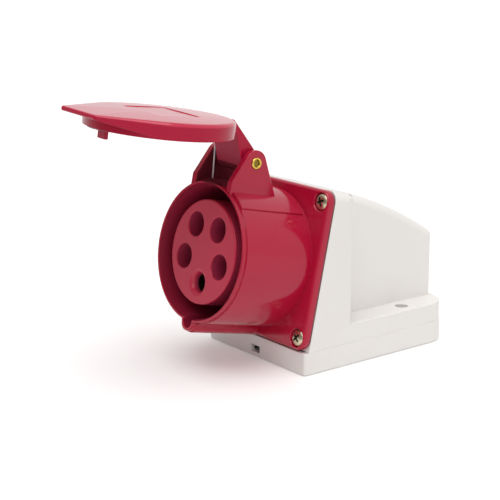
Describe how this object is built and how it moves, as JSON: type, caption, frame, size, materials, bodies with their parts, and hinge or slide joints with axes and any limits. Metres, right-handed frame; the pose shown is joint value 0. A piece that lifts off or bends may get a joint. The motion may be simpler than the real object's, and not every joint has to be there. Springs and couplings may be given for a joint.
{
  "type": "surface-mounted industrial socket",
  "caption": "Surface-mounted industrial socket: pale box with mounting ledges, leaning red collar with contact insert and keyway, and a domed spring lid hinged on a pin",
  "frame": {"origin": "middle of the wall face under the box", "axes": "X across the box, Y from the socket towards the cable entry, Z away from the wall"},
  "size_m": [0.0784, 0.1974, 0.1326],
  "materials": {
    "grey_shell": "satin moulded",
    "red_shell": "gloss moulded",
    "black_rubber": "matte",
    "zinc_steel": "zinc plated",
    "bright_steel": "bright",
    "grey_block": "matte",
    "brass": "turned"
  },
  "bodies": {
    "socket": {"base_tray": "grey_shell", "box_housing": "grey_shell", "mount_ledges": "grey_shell", "base_screws": "zinc_steel", "cable_grommet": "black_rubber", "flange_gasket": "black_rubber", "socket_flange": "red_shell", "socket_collar": "red_shell", "hinge_ears": "red_shell", "flange_screws": "zinc_steel", "contact_insert": "red_shell", "insert_ring": "red_shell", "insert_screws": "bright_steel", "terminal_block": "grey_block", "contact_earth": "brass", "contact_neutral": "brass", "contact_line_1": "brass", "contact_line_2": "brass", "contact_line_3": "brass", "contact_springs": "bright_steel", "terminal_screws": "bright_steel", "hinge_pin": "brass", "lid_spring": "bright_steel"},
    "lid": {"lid": "red_shell", "lid_seal": "black_rubber"}
  },
  "joints": [
    {"name": "lid_hinge", "type": "hinge", "parent": "socket", "child": "lid", "pos_m": [0, -0.06048, 0.10209], "axis": [-1, 0, 0], "range_deg": [-83.9, 25], "deforming": ["lid_spring"]}
  ]
}
